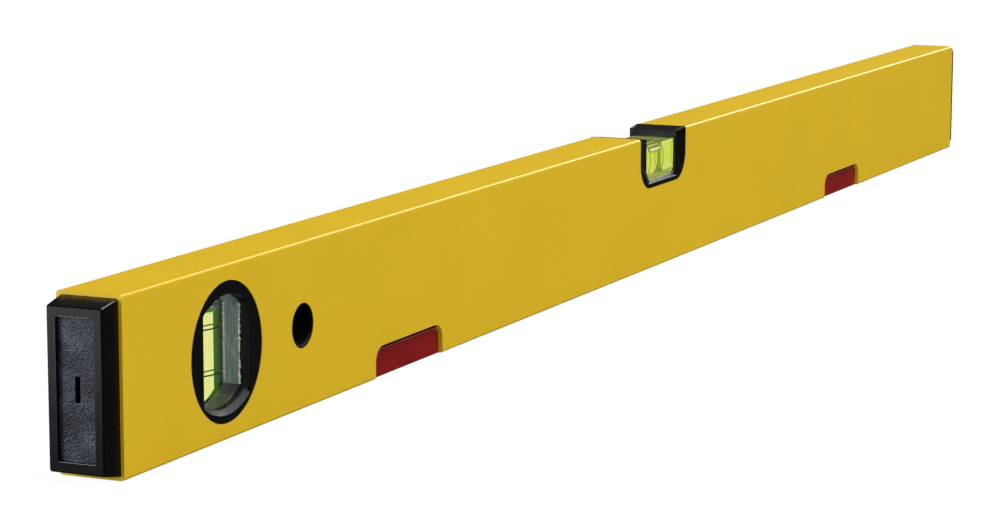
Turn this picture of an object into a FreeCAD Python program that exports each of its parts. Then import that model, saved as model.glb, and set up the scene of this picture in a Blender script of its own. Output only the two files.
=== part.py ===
import FreeCAD, Part
import math
import os

import Sketcher

# A box-section spirit level lying on its measuring face. The origin is the middle of that face,
# X runs along the level, Y across it towards the rear, and Z up. All sizes are in millimetres.

SIZES = {
    # box profile
    "profile_length": 785.0,
    "profile_width": 20.0,
    "profile_height": 50.0,
    "profile_wall": 1.5,
    "profile_corner": 0.9,
    # notch for the horizontal vial
    "notch_width": 46.8,
    "notch_depth": 19.4,
    "notch_corner": 10.0,
    # fits between pieces
    "fit_gap": 0.05,
    "glue_gap": 0.03,
    "free_gap": 0.25,
    "cut_overrun": 4.0,
    # end caps
    "cap_reach": 7.5,
    "cap_base_inset": 1.0,
    "cap_side_taper": 0.5,
    "cap_end_taper": 1.6,
    "cap_corner": 0.8,
    "cap_rim_chamfer": 0.4,
    "cap_side_border": 2.5,
    "cap_end_border": 2.75,
    "cap_field_depth": 1.4,
    "cap_field_corner": 1.25,
    "cap_slot_width": 1.6,
    "cap_slot_height": 7.1,
    "cap_slot_depth": 2.5,
    "cap_skirt_length": 14.0,
    "cap_skirt_wall": 1.6,
    "cap_skirt_play": 0.25,
    "cap_rib_width": 1.5,
    "cap_rib_length": 11.0,
    "cap_rib_spacing": 26.0,
    # horizontal vial housing
    "window_width": 29.8,
    "window_sill": 2.4,
    "window_sill_bevel": 0.8,
    "window_corner": 4.0,
    "window_front_slope": 1.1,
    "window_rear_slope": 0.3,
    "window_top_drop": 0.9,
    "plinth_length": 42.0,
    "plinth_width": 16.8,
    "plinth_height": 8.0,
    "plinth_wall": 2.0,
    "plinth_core_depth": 6.0,
    # vial blocks
    "level_block_depth": 16.4,
    "level_block_drop": 3.7,
    "level_cavity_cover": 1.1,
    "resin_thickness": 0.3,
    "cavity_length": 27.6,
    "cavity_radius": 5.25,
    "cavity_end_radius": 5.05,
    "ring_spacing": 13.1,
    "ring_width": 0.5,
    "ring_thickness": 0.15,
    # bubbles
    "level_bubble_length": 11.6,
    "level_bubble_width": 7.6,
    "level_bubble_height": 2.4,
    "level_bubble_corner": 3.6,
    "plumb_bubble_height": 2.85,
    # plumb vial
    "plumb_from_end": 56.2,
    "plumb_hole_radius": 20.3,
    "plumb_face_inset": 0.2,
    "plumb_opening_width": 26.2,
    "plumb_opening_height": 32.8,
    "plumb_opening_arc": 22.0,
    "plumb_sill_chamfer": 1.5,
    "plumb_block_depth": 13.2,
    "tongue_width": 2.4,
    "tongue_height": 6.0,
    "tongue_length": 2.0,
    # hanging hole
    "hanging_from_end": 101.2,
    "hanging_hole_radius": 6.75,
    "hanging_bore_radius": 5.75,
    "hanging_face_inset": 0.1,
    "hanging_chamfer": 0.5,
    # magnets
    "magnet_spacing": 439.0,
    "cutout_length": 48.0,
    "cutout_height": 10.0,
    "cutout_corner": 5.0,
    "holder_play": 0.25,
    "holder_height": 8.5,
    "holder_corner": 3.0,
    "holder_ledge_reach": 3.0,
    "holder_ledge_height": 2.5,
    "magnet_pocket_length": 40.0,
    "magnet_pocket_width": 11.0,
    "magnet_pocket_depth": 5.5,
    "magnet_inset": 0.1,
    "pole_plate_thickness": 1.5,
    "magnet_separation": 0.6,
}

# Sizes and places that follow from the ones above.
PLACES = {
    "half_length": "=Sizes.profile_length / 2",
    "half_width": "=Sizes.profile_width / 2",
    "half_height": "=Sizes.profile_height / 2",
    "inner_half_width": "=half_width - Sizes.profile_wall",
    "inner_half_height": "=half_height - Sizes.profile_wall",
    "inner_top": "=Sizes.profile_height - Sizes.profile_wall",
    "outer_top": "=Sizes.profile_height",
    "above_top": "=outer_top + Sizes.cut_overrun",
    "below_bottom": "=-Sizes.cut_overrun",
    "notch_half": "=Sizes.notch_width / 2",
    "notch_floor": "=Sizes.profile_height - Sizes.notch_depth",
    # end caps, from the middle of the profile's end face
    "cap_base_half_width": "=half_width - Sizes.cap_base_inset",
    "cap_base_half_height": "=half_height - Sizes.cap_base_inset",
    "cap_rim_half_width": "=cap_base_half_width - Sizes.cap_side_taper",
    "cap_rim_half_height": "=cap_base_half_height - Sizes.cap_end_taper",
    "cap_field_half_width": "=cap_rim_half_width - Sizes.cap_side_border",
    "cap_field_half_height": "=cap_rim_half_height - Sizes.cap_end_border",
    "cap_field_level": "=Sizes.cap_reach - Sizes.cap_field_depth",
    "cap_slot_half_width": "=Sizes.cap_slot_width / 2",
    "cap_slot_half_height": "=Sizes.cap_slot_height / 2",
    "skirt_half_width": "=inner_half_width - Sizes.cap_skirt_play",
    "skirt_half_height": "=inner_half_height - Sizes.cap_skirt_play",
    "skirt_inner_half_width": "=skirt_half_width - Sizes.cap_skirt_wall",
    "skirt_inner_half_height": "=skirt_half_height - Sizes.cap_skirt_wall",
    "rib_low": "=Sizes.cap_rib_spacing / 2 - Sizes.cap_rib_width / 2",
    "rib_high": "=Sizes.cap_rib_spacing / 2 + Sizes.cap_rib_width / 2",
    "rib_half_width": "=Sizes.cap_rib_width / 2",
    # horizontal vial housing
    "saddle_half": "=notch_half - Sizes.fit_gap",
    "saddle_floor": "=notch_floor + Sizes.fit_gap",
    "saddle_corner": "=Sizes.notch_corner - Sizes.fit_gap",
    "window_half": "=Sizes.window_width / 2",
    "window_floor": "=notch_floor + Sizes.window_sill",
    "window_top": "=outer_top - Sizes.window_top_drop",
    "window_front_level": "=half_width - Sizes.window_front_slope",
    "window_rear_level": "=half_width - Sizes.window_rear_slope",
    "bevel_floor": "=window_floor - Sizes.window_sill_bevel",
    "bevel_outer_shoulder": "=saddle_floor + saddle_corner",
    "bevel_outer_foot": "=saddle_half - (bevel_outer_shoulder - bevel_floor)",
    "bevel_inner_foot": "=window_half - Sizes.window_corner",
    "bevel_inner_shoulder": "=window_floor + Sizes.window_corner",
    "plinth_half": "=Sizes.plinth_length / 2",
    "plinth_bottom": "=notch_floor - Sizes.plinth_height",
    "plinth_core_start": "=Sizes.plinth_wall / 2",
    "plinth_core_end": "=plinth_half - Sizes.plinth_wall",
    "plinth_core_half_width": "=Sizes.plinth_width / 2 - Sizes.plinth_wall",
    # horizontal vial, from the middle of its cavity
    "level_block_top": "=outer_top - Sizes.level_block_drop",
    "level_axis": "=level_block_top - Sizes.level_cavity_cover - Sizes.cavity_radius",
    "level_block_half": "=window_half - Sizes.fit_gap",
    "level_block_roof": "=level_block_top - level_axis",
    "level_block_base": "=window_floor + Sizes.resin_thickness - level_axis",
    "cavity_half": "=Sizes.cavity_length / 2",
    "cavity_sag": "=Sizes.cavity_radius - Sizes.cavity_end_radius",
    "cavity_arc": "=(cavity_half ^ 2 + cavity_sag ^ 2) / (2 * cavity_sag)",
    "resin_roof": "=window_floor + Sizes.resin_thickness",
    "plug_inside": "=cavity_half + Sizes.glue_gap",
    "plug_radius": "=Sizes.cavity_end_radius - Sizes.glue_gap",
    "ring_near": "=Sizes.ring_spacing / 2 - Sizes.ring_width / 2",
    "ring_far": "=Sizes.ring_spacing / 2 + Sizes.ring_width / 2",
    "ring_outer_radius": "=Sizes.cavity_end_radius - Sizes.glue_gap",
    "ring_inner_radius": "=ring_outer_radius - Sizes.ring_thickness",
    # fluids and bubbles
    "fluid_length": "=Sizes.cavity_length - 2 * Sizes.glue_gap",
    "fluid_radius": "=ring_inner_radius - Sizes.glue_gap",
    "bubble_radius": "=Sizes.cavity_end_radius - Sizes.free_gap",
    "level_bubble_reach": "=Sizes.level_bubble_length / 2",
    "level_bubble_half_width": "=Sizes.level_bubble_width / 2",
    "level_bubble_floor": "=bubble_radius - Sizes.level_bubble_height",
    "level_hollow_reach": "=level_bubble_reach + Sizes.free_gap",
    "level_hollow_half_width": "=level_bubble_half_width + Sizes.free_gap",
    "level_hollow_corner": "=Sizes.level_bubble_corner + Sizes.free_gap",
    "level_hollow_floor": "=level_bubble_floor - Sizes.free_gap",
    "plumb_bubble_top": "=cavity_half - Sizes.free_gap",
    "plumb_bubble_tall": "=Sizes.plumb_bubble_height - Sizes.free_gap",
    "plumb_meniscus": "=cavity_half - Sizes.plumb_bubble_height - Sizes.free_gap",
    # plumb vial, from the middle of its round hole
    "plumb_x": "=Sizes.plumb_from_end - half_length",
    "plumb_disc_radius": "=Sizes.plumb_hole_radius - Sizes.fit_gap",
    "plumb_disc_depth": "=half_width - Sizes.plumb_face_inset",
    "plumb_opening_half": "=Sizes.plumb_opening_width / 2",
    "plumb_opening_reach": "=Sizes.plumb_opening_height / 2",
    "plumb_arc_offset": "=Sizes.plumb_opening_arc - plumb_opening_reach",
    "plumb_block_half": "=plumb_opening_half - Sizes.resin_thickness",
    "plumb_block_arc": "=Sizes.plumb_opening_arc - Sizes.resin_thickness",
    "plumb_block_reach": "=plumb_opening_reach - Sizes.resin_thickness",
    "plumb_plug_outside": "=sqrt(plumb_block_arc ^ 2 - Sizes.cavity_end_radius ^ 2) - plumb_arc_offset",
    "plumb_resin_near": "=plumb_block_half + Sizes.glue_gap",
    "plumb_resin_far": "=plumb_opening_half - Sizes.glue_gap",
    "plumb_flat_half": "=sqrt(Sizes.plumb_opening_arc ^ 2 - plumb_opening_half ^ 2) - plumb_arc_offset",
    "plumb_resin_reach": "=plumb_flat_half - Sizes.fit_gap",
    "tongue_middle": "=(plumb_opening_half + plumb_disc_radius) / 2",
    "tongue_near": "=tongue_middle - Sizes.tongue_width / 2",
    "tongue_far": "=tongue_middle + Sizes.tongue_width / 2",
    "tongue_half_height": "=Sizes.tongue_height / 2",
    "socket_near": "=tongue_near - Sizes.fit_gap",
    "socket_far": "=tongue_far + Sizes.fit_gap",
    "socket_half_height": "=tongue_half_height + Sizes.fit_gap",
    "socket_depth": "=Sizes.tongue_length + Sizes.fit_gap",
    # hanging hole
    "hanging_x": "=Sizes.hanging_from_end - half_length",
    "bush_radius": "=Sizes.hanging_hole_radius - Sizes.fit_gap",
    "bush_half_length": "=half_width - Sizes.hanging_face_inset",
    "bush_length": "=2 * bush_half_length",
    # magnets, from the middle of the cut-out in the measuring face
    "magnet_x": "=Sizes.magnet_spacing / 2",
    "cutout_start": "=magnet_x - Sizes.cutout_length / 2",
    "cutout_end": "=magnet_x + Sizes.cutout_length / 2",
    "holder_half": "=Sizes.cutout_length / 2 - Sizes.holder_play",
    "holder_width": "=2 * (inner_half_width - Sizes.fit_gap)",
    "ledge_half": "=holder_half + Sizes.holder_ledge_reach",
    "ledge_floor": "=Sizes.profile_wall + Sizes.fit_gap",
    "ledge_roof": "=ledge_floor + Sizes.holder_ledge_height",
    "magnet_pocket_half": "=Sizes.magnet_pocket_length / 2",
    "magnet_pocket_half_width": "=Sizes.magnet_pocket_width / 2",
    "plate_half": "=magnet_pocket_half - Sizes.fit_gap",
    "plate_outside": "=magnet_pocket_half_width - Sizes.fit_gap",
    "plate_inside": "=plate_outside - Sizes.pole_plate_thickness",
    "plate_height": "=Sizes.magnet_pocket_depth - Sizes.magnet_inset - Sizes.fit_gap",
    "magnet_half_width": "=plate_inside - Sizes.glue_gap",
    "magnet_half": "=(plate_half - Sizes.magnet_separation) / 3",
    "side_magnet_start": "=magnet_half + Sizes.magnet_separation",
}

vector = FreeCAD.Vector
doc = FreeCAD.newDocument("spirit_level")
parts = {}


def make_sheet(name, cells):
    """A spreadsheet with one named cell a row."""
    sheet = doc.addObject("Spreadsheet::Sheet", name)
    for row, (alias, content) in enumerate(cells.items(), start=1):
        sheet.set(f"A{row}", alias)
        sheet.set(f"B{row}", str(content))
        sheet.setAlias(f"B{row}", alias)
    doc.recompute()


def number(word):
    """The present value of a name such as Sizes.notch_width or -Places.notch_half."""
    if word == "0":
        return 0.0
    sheet, alias = word.lstrip("-").split(".")
    value = float(getattr(doc.getObject(sheet), alias))
    return -value if word.startswith("-") else value


def opposite(word):
    """The same size measured the other way."""
    if word == "0":
        return word
    return word[1:] if word.startswith("-") else "-" + word


def pin(sketch, curve, point, x, y):
    """Holds a point of a sketch at two named distances from the sketch's origin."""
    for kind, axis, word in (("DistanceX", -2, x), ("DistanceY", -1, y)):
        if word == "0":
            sketch.addConstraint(Sketcher.Constraint("PointOnObject", curve, point, axis))
        else:
            row = sketch.addConstraint(Sketcher.Constraint(kind, -1, 1, curve, point, number(word)))
            sketch.setExpression(f"Constraints[{row}]", word)


def size_radius(sketch, curve, word):
    row = sketch.addConstraint(Sketcher.Constraint("Radius", curve, number(word)))
    sketch.setExpression(f"Constraints[{row}]", word)


def circle(sketch, x, y, radius):
    centre = vector(number(x), number(y), 0)
    curve = sketch.addGeometry(Part.Circle(centre, vector(0, 0, 1), number(radius)))
    pin(sketch, curve, 3, x, y)
    size_radius(sketch, curve, radius)


def rounded_corner(sketch, corner, spot, before, after):
    """The arc at one corner: its curve, the ends it has on each side, and where the sides stop."""
    radius = number(corner[2])
    half_angle = before.getAngle(after) / 2
    reach = radius / math.tan(half_angle)
    stop = spot + before * reach
    start = spot + after * reach
    centre = spot + (before + after).normalize() * (radius / math.sin(half_angle))
    turns_left = before.cross(after).z < 0
    first, last = (stop, start) if turns_left else (start, stop)
    low = math.atan2(first.y - centre.y, first.x - centre.x)
    high = math.atan2(last.y - centre.y, last.x - centre.x)
    if high < low:
        high += 2 * math.pi
    arc = Part.ArcOfCircle(Part.Circle(centre, vector(0, 0, 1), radius), low, high)
    ends = (1, 2) if turns_left else (2, 1)
    return sketch.addGeometry(arc), ends, stop, start


def outline(sketch, corners):
    """A closed outline, anticlockwise, through named corners. A third name rounds a corner."""
    spots = [vector(number(corner[0]), number(corner[1]), 0) for corner in corners]
    count = len(corners)
    stops, starts, arcs = list(spots), list(spots), {}
    for i, corner in enumerate(corners):
        if len(corner) == 3:
            before = (spots[i - 1] - spots[i]).normalize()
            after = (spots[(i + 1) % count] - spots[i]).normalize()
            curve, ends, stops[i], starts[i] = rounded_corner(sketch, corner, spots[i], before, after)
            arcs[i] = (curve, ends)
    sides = []
    for i in range(count):
        side = Part.LineSegment(starts[i], stops[(i + 1) % count])
        sides.append(sketch.addGeometry(side))
    for i, corner in enumerate(corners):
        if i not in arcs:
            sketch.addConstraint(Sketcher.Constraint("Coincident", sides[i - 1], 2, sides[i], 1))
            pin(sketch, sides[i], 1, corner[0], corner[1])
            continue
        curve, ends = arcs[i]
        mark = sketch.addGeometry(Part.Point(spots[i]), True)
        sketch.addConstraint(Sketcher.Constraint("Tangent", sides[i - 1], 2, curve, ends[0]))
        sketch.addConstraint(Sketcher.Constraint("Tangent", sides[i], 1, curve, ends[1]))
        sketch.addConstraint(Sketcher.Constraint("PointOnObject", mark, 1, sides[i - 1]))
        sketch.addConstraint(Sketcher.Constraint("PointOnObject", mark, 1, sides[i]))
        pin(sketch, mark, 1, corner[0], corner[1])
        size_radius(sketch, curve, corner[2])


def rectangle(sketch, left, bottom, right, top, *rounding):
    """A rectangle between named sides, with all its corners rounded where a radius is named."""
    corners = ((left, bottom), (right, bottom), (right, top), (left, top))
    outline(sketch, [corner + rounding for corner in corners])


def centred_rectangle(sketch, half_width, half_height, *rounding):
    rectangle(sketch, opposite(half_width), opposite(half_height), half_width, half_height, *rounding)


def cup(sketch, half_width, floor, top, rounding):
    """A rectangle whose two lower corners are rounded."""
    left = opposite(half_width)
    outline(sketch, [(left, floor, rounding), (half_width, floor, rounding), (half_width, top), (left, top)])


def cut_cup(sketch, half_width, half_foot, floor, shoulder, top):
    """A rectangle whose two lower corners are cut straight, from its foot to its shoulders."""
    foot = [(opposite(half_foot), floor), (half_foot, floor)]
    right = [(half_width, shoulder), (half_width, top)]
    left = [(opposite(half_width), top), (opposite(half_width), shoulder)]
    outline(sketch, foot + right + left)


def round_ended(sketch, half_width, arc, offset):
    """Straight sides joined by an arc at each end, whose centre lies past the origin by an offset."""
    half, radius, beyond = number(half_width), number(arc), number(offset)
    rise = math.sqrt(radius**2 - half**2)
    low = math.atan2(rise, half)
    up = vector(0, 0, 1)
    over = Part.Circle(vector(0, -beyond, 0), up, radius)
    under = Part.Circle(vector(0, beyond, 0), up, radius)
    top = sketch.addGeometry(Part.ArcOfCircle(over, low, math.pi - low))
    bottom = sketch.addGeometry(Part.ArcOfCircle(under, math.pi + low, 2 * math.pi - low))
    reach = rise - beyond
    left = sketch.addGeometry(Part.LineSegment(vector(-half, reach, 0), vector(-half, -reach, 0)))
    right = sketch.addGeometry(Part.LineSegment(vector(half, -reach, 0), vector(half, reach, 0)))
    joints = ((top, 2, left, 1), (bottom, 1, left, 2), (bottom, 2, right, 1), (top, 1, right, 2))
    for curve, end, side, start in joints:
        sketch.addConstraint(Sketcher.Constraint("Coincident", curve, end, side, start))
    for curve, middle in ((top, opposite(offset)), (bottom, offset)):
        pin(sketch, curve, 3, "0", middle)
        size_radius(sketch, curve, arc)
    for side, word in ((left, opposite(half_width)), (right, half_width)):
        sketch.addConstraint(Sketcher.Constraint("Vertical", side))
        row = sketch.addConstraint(Sketcher.Constraint("DistanceX", -1, 1, side, 1, number(word)))
        sketch.setExpression(f"Constraints[{row}]", word)


def barrel(sketch, half_length, end_radius, bulge, bore_end):
    """The half section of a barrel on the X axis, its side one arc, with a plain bore out of its -X end."""
    half, radius, end = number(half_length), number(end_radius), number(bore_end)
    arc_radius = number(bulge)
    centre = vector(0, radius - math.sqrt(arc_radius**2 - half**2), 0)
    spread = math.asin(half / arc_radius)
    ring = Part.Circle(centre, vector(0, 0, 1), arc_radius)
    side = sketch.addGeometry(Part.ArcOfCircle(ring, math.pi / 2 - spread, math.pi / 2 + spread))
    spots = ((-half, radius), (-end, radius), (-end, 0), (half, 0), (half, radius))
    lines = []
    for (x, y), (next_x, next_y) in zip(spots, spots[1:]):
        lines.append(sketch.addGeometry(Part.LineSegment(vector(x, y, 0), vector(next_x, next_y, 0))))
    sketch.addConstraint(Sketcher.Constraint("Coincident", side, 2, lines[0], 1))
    for line, following in zip(lines, lines[1:]):
        sketch.addConstraint(Sketcher.Constraint("Coincident", line, 2, following, 1))
    sketch.addConstraint(Sketcher.Constraint("Coincident", lines[-1], 2, side, 1))
    places = (
        (opposite(half_length), end_radius),
        (opposite(bore_end), end_radius),
        (opposite(bore_end), "0"),
        (half_length, "0"),
    )
    for line, (x, y) in zip(lines, places):
        pin(sketch, line, 1, x, y)
    pin(sketch, lines[-1], 2, half_length, end_radius)
    size_radius(sketch, side, bulge)


def new_body(name, several=False):
    body = doc.addObject("PartDesign::Body", name)
    body.Label = name
    body.AllowCompound = several
    parts[name] = body
    return body


def new_sketch(body, role, name, level="0", turn=0):
    """A sketch on one of the body's planes, at a named level along its normal, in quarter turns."""
    plane = next(feature for feature in body.Origin.OriginFeatures if feature.Role == role)
    sketch = body.newObject("Sketcher::SketchObject", name)
    sketch.AttachmentSupport = [(plane, "")]
    sketch.MapMode = "FlatFace"
    sketch.AttachmentOffset = FreeCAD.Placement(vector(), FreeCAD.Rotation(vector(0, 0, 1), 90 * turn))
    if level != "0":
        sketch.setExpression("AttachmentOffset.Base.z", level)
    return sketch


def finish(body, feature, grows):
    """Recomputes, and stops if the feature failed or changed nothing."""
    doc.recompute()
    base = feature.BaseFeature
    before = base.Shape.Volume if base is not None else 0.0
    after = feature.Shape.Volume
    if "Invalid" in feature.State or "Error" in feature.State:
        raise RuntimeError(f"{body.Label} {feature.Label} failed")
    if (grows and after <= before) or (not grows and after >= before):
        raise RuntimeError(f"{body.Label} {feature.Label} changes nothing: {before} {after}")
    return feature


def pad(body, sketch, name, length, side="One side", backwards=False):
    feature = body.newObject("PartDesign::Pad", name)
    feature.Profile = sketch
    feature.SideType = side
    feature.Reversed = backwards
    feature.setExpression("Length", length)
    return finish(body, feature, True)


def pocket(body, sketch, name, length=None, side="One side", backwards=False):
    """A cut from a sketch, as deep as the named length, or right through both ways."""
    feature = body.newObject("PartDesign::Pocket", name)
    feature.Profile = sketch
    if length is None:
        feature.Type = "ThroughAll"
        feature.SideType = "Symmetric"
    else:
        feature.SideType = side
        feature.Reversed = backwards
        feature.setExpression("Length", length)
    return finish(body, feature, False)


def loft(body, kind, name, first, second):
    feature = body.newObject(f"PartDesign::{kind}Loft", name)
    feature.Profile = first
    feature.Sections = [second]
    feature.Ruled = True
    return finish(body, feature, kind == "Additive")


def revolve(body, kind, sketch, name):
    """A full turn of a sketch about its own X axis."""
    feature = body.newObject(f"PartDesign::{kind}", name)
    feature.Profile = sketch
    feature.ReferenceAxis = (sketch, ["H_Axis"])
    feature.Angle = 360.0
    return finish(body, feature, kind == "Revolution")


def dress(body, kind, name, belongs, amount):
    """A fillet or chamfer on the edges whose start, middle and end pass the test."""
    base = body.Tip
    names = []
    for index, edge in enumerate(base.Shape.Edges, start=1):
        first, last = edge.ParameterRange
        if belongs([edge.valueAt(spot) for spot in (first, (first + last) / 2, last)]):
            names.append(f"Edge{index}")
    if not names:
        raise RuntimeError(f"{body.Label} {name} finds no edge")
    feature = body.newObject(f"PartDesign::{kind}", name)
    feature.Base = (base, names)
    feature.setExpression("Radius" if kind == "Fillet" else "Size", amount)
    return finish(body, feature, False)


def near(value, word):
    """True where a coordinate lies at a named level."""
    return abs(value - number(word)) < number("Sizes.glue_gap")


def in_plane(axis, word):
    """A test for edges that lie at a named level along x, y or z."""
    return lambda spots: all(near(getattr(spot, axis), word) for spot in spots)


def on_rim(axis, level, radius):
    """A test for the edges of a round rim about the middle, at a named level along x or y."""
    def passes(spots):
        distances = [math.sqrt(spot.Length**2 - getattr(spot, axis) ** 2) for spot in spots]
        return in_plane(axis, level)(spots) and all(near(distance, radius) for distance in distances)

    return passes


def across_x(spots):
    """True for an edge that runs from one X to another."""
    return abs(spots[0].x - spots[2].x) > number("Sizes.fit_gap")


def place(body, x="0", y="0", z="0", turn=None):
    """Puts a body at a named place, turned first about an axis by quarter turns."""
    if turn is not None:
        axis, quarters = turn
        body.Placement = FreeCAD.Placement(vector(0, 0, 0), FreeCAD.Rotation(axis, 90 * quarters))
    for letter, word in (("x", x), ("y", y), ("z", z)):
        if word != "0":
            body.setExpression(f"Placement.Base.{letter}", word)


def box_profile():
    body = new_body("box_profile")
    section = new_sketch(body, "YZ_Plane", "profile_section")
    half, low, top = "Places.half_width", "0", "Places.outer_top"
    rectangle(section, opposite(half), low, half, top, "Sizes.profile_corner")
    pad(body, section, "profile_bar", "Sizes.profile_length", "Symmetric")
    hollow = new_sketch(body, "YZ_Plane", "profile_hollow")
    inner, bottom = "Places.inner_half_width", "Sizes.profile_wall"
    roof = "Places.inner_top"
    rectangle(hollow, opposite(inner), bottom, inner, roof)
    pocket(body, hollow, "profile_core")
    notch = new_sketch(body, "XZ_Plane", "notch_outline")
    cup(notch, "Places.notch_half", "Places.notch_floor", "Places.above_top", "Sizes.notch_corner")
    pocket(body, notch, "notch_cut")
    holes = new_sketch(body, "XZ_Plane", "round_holes")
    circle(holes, "Places.plumb_x", "Places.half_height", "Sizes.plumb_hole_radius")
    circle(holes, "Places.hanging_x", "Places.half_height", "Sizes.hanging_hole_radius")
    pocket(body, holes, "holes_cut")
    cutouts = new_sketch(body, "XZ_Plane", "magnet_cutouts")
    start, end, low = "Places.cutout_start", "Places.cutout_end", "Places.below_bottom"
    high, corner = "Sizes.cutout_height", "Sizes.cutout_corner"
    outline(cutouts, [(start, low), (end, low), (end, high, corner), (start, high, corner)])
    start, end = opposite(end), opposite(start)
    outline(cutouts, [(start, low), (end, low), (end, high, corner), (start, high, corner)])
    pocket(body, cutouts, "cutouts_cut")


def end_cap(name, x, turn=None):
    """A cap about the middle of the profile's end face, facing +X: tapered block and inner skirt."""
    body = new_body(name)
    base = new_sketch(body, "YZ_Plane", "cap_base")
    centred_rectangle(base, "Places.cap_base_half_width", "Places.cap_base_half_height")
    pad(body, base, "cap_block", "Sizes.cap_reach")
    for role, taper, outer, rim in (
        ("XY_Plane", "side_tapers", "Places.cap_base_half_width", "Places.cap_rim_half_width"),
        ("XZ_Plane", "end_tapers", "Places.cap_base_half_height", "Places.cap_rim_half_height"),
    ):
        wedges = new_sketch(body, role, taper)
        reach = "Sizes.cap_reach"
        outline(wedges, [("0", outer), (reach, rim), (reach, outer)])
        outline(wedges, [("0", opposite(outer)), (reach, opposite(outer)), (reach, opposite(rim))])
        pocket(body, wedges, f"{taper}_cut")
    dress(body, "Fillet", "cap_corner_rounding", across_x, "Sizes.cap_corner")
    dress(body, "Chamfer", "cap_rim_bevel", in_plane("x", "Sizes.cap_reach"), "Sizes.cap_rim_chamfer")
    field = new_sketch(body, "YZ_Plane", "cap_field", "Sizes.cap_reach")
    centred_rectangle(
        field, "Places.cap_field_half_width", "Places.cap_field_half_height", "Sizes.cap_field_corner"
    )
    pocket(body, field, "cap_field_cut", "Sizes.cap_field_depth")
    slot = new_sketch(body, "YZ_Plane", "cap_slot", "Places.cap_field_level")
    centred_rectangle(slot, "Places.cap_slot_half_width", "Places.cap_slot_half_height")
    pocket(body, slot, "cap_slot_cut", "Sizes.cap_slot_depth")
    skirt = new_sketch(body, "YZ_Plane", "cap_skirt")
    centred_rectangle(skirt, "Places.skirt_half_width", "Places.skirt_half_height")
    centred_rectangle(skirt, "Places.skirt_inner_half_width", "Places.skirt_inner_half_height")
    pad(body, skirt, "cap_skirt_walls", "Sizes.cap_skirt_length", backwards=True)
    ribs = new_sketch(body, "YZ_Plane", "cap_ribs")
    near_side, far_side = "Places.skirt_half_width", "Places.inner_half_width"
    for low, high in (("Places.rib_low", "Places.rib_high"), ("-Places.rib_high", "-Places.rib_low")):
        rectangle(ribs, near_side, low, far_side, high)
        rectangle(ribs, opposite(far_side), low, opposite(near_side), high)
    near_side, far_side = "Places.skirt_half_height", "Places.inner_half_height"
    half = "Places.rib_half_width"
    rectangle(ribs, opposite(half), near_side, half, far_side)
    rectangle(ribs, opposite(half), opposite(far_side), half, opposite(near_side))
    pad(body, ribs, "cap_skirt_ribs", "Sizes.cap_rib_length", backwards=True)
    place(body, x=x, z="Places.half_height", turn=turn)


def horizontal_vial_housing():
    """The saddle in the notch: bevelled pillars, a window open at the top and a cored plinth."""
    body = new_body("horizontal_vial_housing")
    top, above = "Places.outer_top", "Places.above_top"
    saddle = new_sketch(body, "XZ_Plane", "saddle_outline")
    cup(saddle, "Places.saddle_half", "Places.saddle_floor", top, "Places.saddle_corner")
    pad(body, saddle, "saddle_block", "Sizes.profile_width", "Symmetric")
    plinth = new_sketch(body, "XZ_Plane", "plinth_outline")
    half = "Places.plinth_half"
    rectangle(plinth, opposite(half), "Places.plinth_bottom", half, "Places.window_floor")
    pad(body, plinth, "plinth_block", "Sizes.plinth_width", "Symmetric")
    for name, face, level in (
        ("front", "Places.half_width", "Places.window_front_level"),
        ("rear", "-Places.half_width", "-Places.window_rear_level"),
    ):
        outside = new_sketch(body, "XZ_Plane", f"{name}_bevel_outside", face)
        foot, shoulder = "Places.bevel_outer_foot", "Places.bevel_outer_shoulder"
        cut_cup(outside, "Places.saddle_half", foot, "Places.bevel_floor", shoulder, above)
        inside = new_sketch(body, "XZ_Plane", f"{name}_bevel_inside", level)
        foot, shoulder = "Places.bevel_inner_foot", "Places.bevel_inner_shoulder"
        cut_cup(inside, "Places.window_half", foot, "Places.window_floor", shoulder, above)
        loft(body, "Subtractive", f"{name}_bevel", outside, inside)
    window = new_sketch(body, "XZ_Plane", "window_outline")
    cup(window, "Places.window_half", "Places.window_floor", above, "Sizes.window_corner")
    pocket(body, window, "window_cut")
    seat = new_sketch(body, "XZ_Plane", "seat_outline")
    half = "Places.window_half"
    rectangle(seat, opposite(half), "Places.window_floor", half, above)
    pocket(body, seat, "seat_cut", "Sizes.level_block_depth", "Symmetric")
    slopes = new_sketch(body, "XZ_Plane", "top_slopes")
    inner, outer, low = "Places.window_half", "Places.saddle_half", "Places.window_top"
    outline(slopes, [(inner, low), (outer, top), (outer, above), (inner, above)])
    inner, outer = opposite(inner), opposite(outer)
    outline(slopes, [(outer, top), (inner, low), (inner, above), (outer, above)])
    pocket(body, slopes, "top_slopes_cut")
    cores = new_sketch(body, "XY_Plane", "plinth_cores", "Places.plinth_bottom")
    start, end, side = "Places.plinth_core_start", "Places.plinth_core_end", "Places.plinth_core_half_width"
    rectangle(cores, start, opposite(side), end, side)
    rectangle(cores, opposite(end), opposite(side), opposite(start), side)
    pocket(body, cores, "plinth_cores_cut", "Sizes.plinth_core_depth", backwards=True)


def bore_cavity(body, outside):
    """The barrel cavity along X, open at the block's -X end for the plug."""
    cavity = new_sketch(body, "XY_Plane", "cavity_section")
    barrel(cavity, "Places.cavity_half", "Sizes.cavity_end_radius", "Places.cavity_arc", outside)
    revolve(body, "Groove", cavity, "cavity_cut")


def vial_rings(name):
    """Two thin rings on the wall of a cavity."""
    body = new_body(name, several=True)
    section = new_sketch(body, "XY_Plane", "ring_sections")
    low, high = "Places.ring_inner_radius", "Places.ring_outer_radius"
    start, end = "Places.ring_near", "Places.ring_far"
    rectangle(section, start, low, end, high)
    rectangle(section, opposite(end), low, opposite(start), high)
    revolve(body, "Revolution", section, "rings")
    return body


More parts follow.
